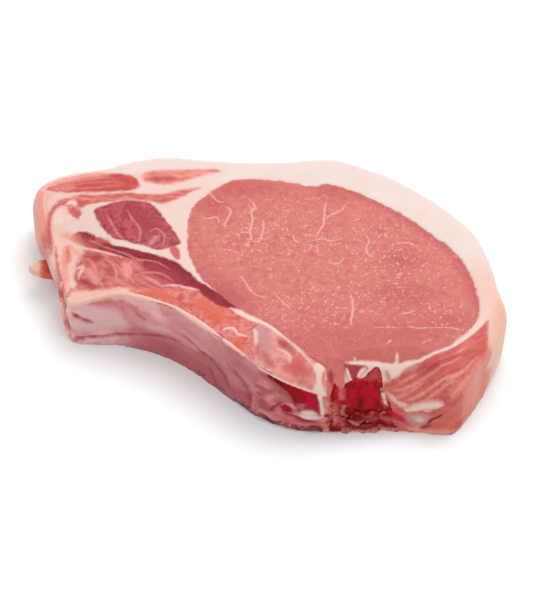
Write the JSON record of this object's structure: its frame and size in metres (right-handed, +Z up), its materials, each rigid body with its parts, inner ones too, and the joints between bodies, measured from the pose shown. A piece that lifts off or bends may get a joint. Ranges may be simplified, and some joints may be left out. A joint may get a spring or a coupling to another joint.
{
  "type": "raw pork chop",
  "caption": "Thick raw pork rib chop lying on a cut face: pink loin muscle in a cap of white fat, thinner tail end, and the rib and sawn backbone along one side.",
  "frame": {"origin": "middle of the chop's bounding box, on the surface it rests on", "axes": "+X from the thin tail end to the blunt end of the fat cap, +Y from the rib side to the fat cap, +Z up out of the upper cut face"},
  "size_m": [0.1606, 0.1064, 0.0257],
  "materials": {
    "loin_eye": "moist cut muscle, finely marbled",
    "rib_cap_muscle": "moist dark cut muscle",
    "rib_strip_muscle": "moist dark cut muscle",
    "intercostal_muscle": "moist cut muscle, mottled with fat",
    "rib_side_meat": "moist meat and fat under a thin membrane",
    "back_muscle": "moist cut muscle with pale streaks",
    "belly_muscle": "moist cut muscle",
    "flank_muscle": "moist cut muscle",
    "skin_muscle": "moist cut muscle",
    "fat": "smooth firm fat, soft sheen",
    "rib_bone": "bone under a glossy membrane",
    "rib_head": "sawn bone and cartilage, moist",
    "chine_bone": "sawn bone with wet red marrow",
    "flank_tag": "loose shred of fat"
  },
  "bodies": {
    "root": {"loin_eye": "loin_eye", "rib_cap_muscle": "rib_cap_muscle", "rib_strip_muscle": "rib_strip_muscle", "intercostal_muscle": "intercostal_muscle", "rib_side_meat": "rib_side_meat", "back_muscle": "back_muscle", "belly_muscle": "belly_muscle", "flank_muscle": "flank_muscle", "skin_muscle": "skin_muscle", "fat": "fat", "rib_bone": "rib_bone", "rib_head": "rib_head", "chine_bone": "chine_bone", "flank_tag": "flank_tag"}
  },
  "joints": []
}
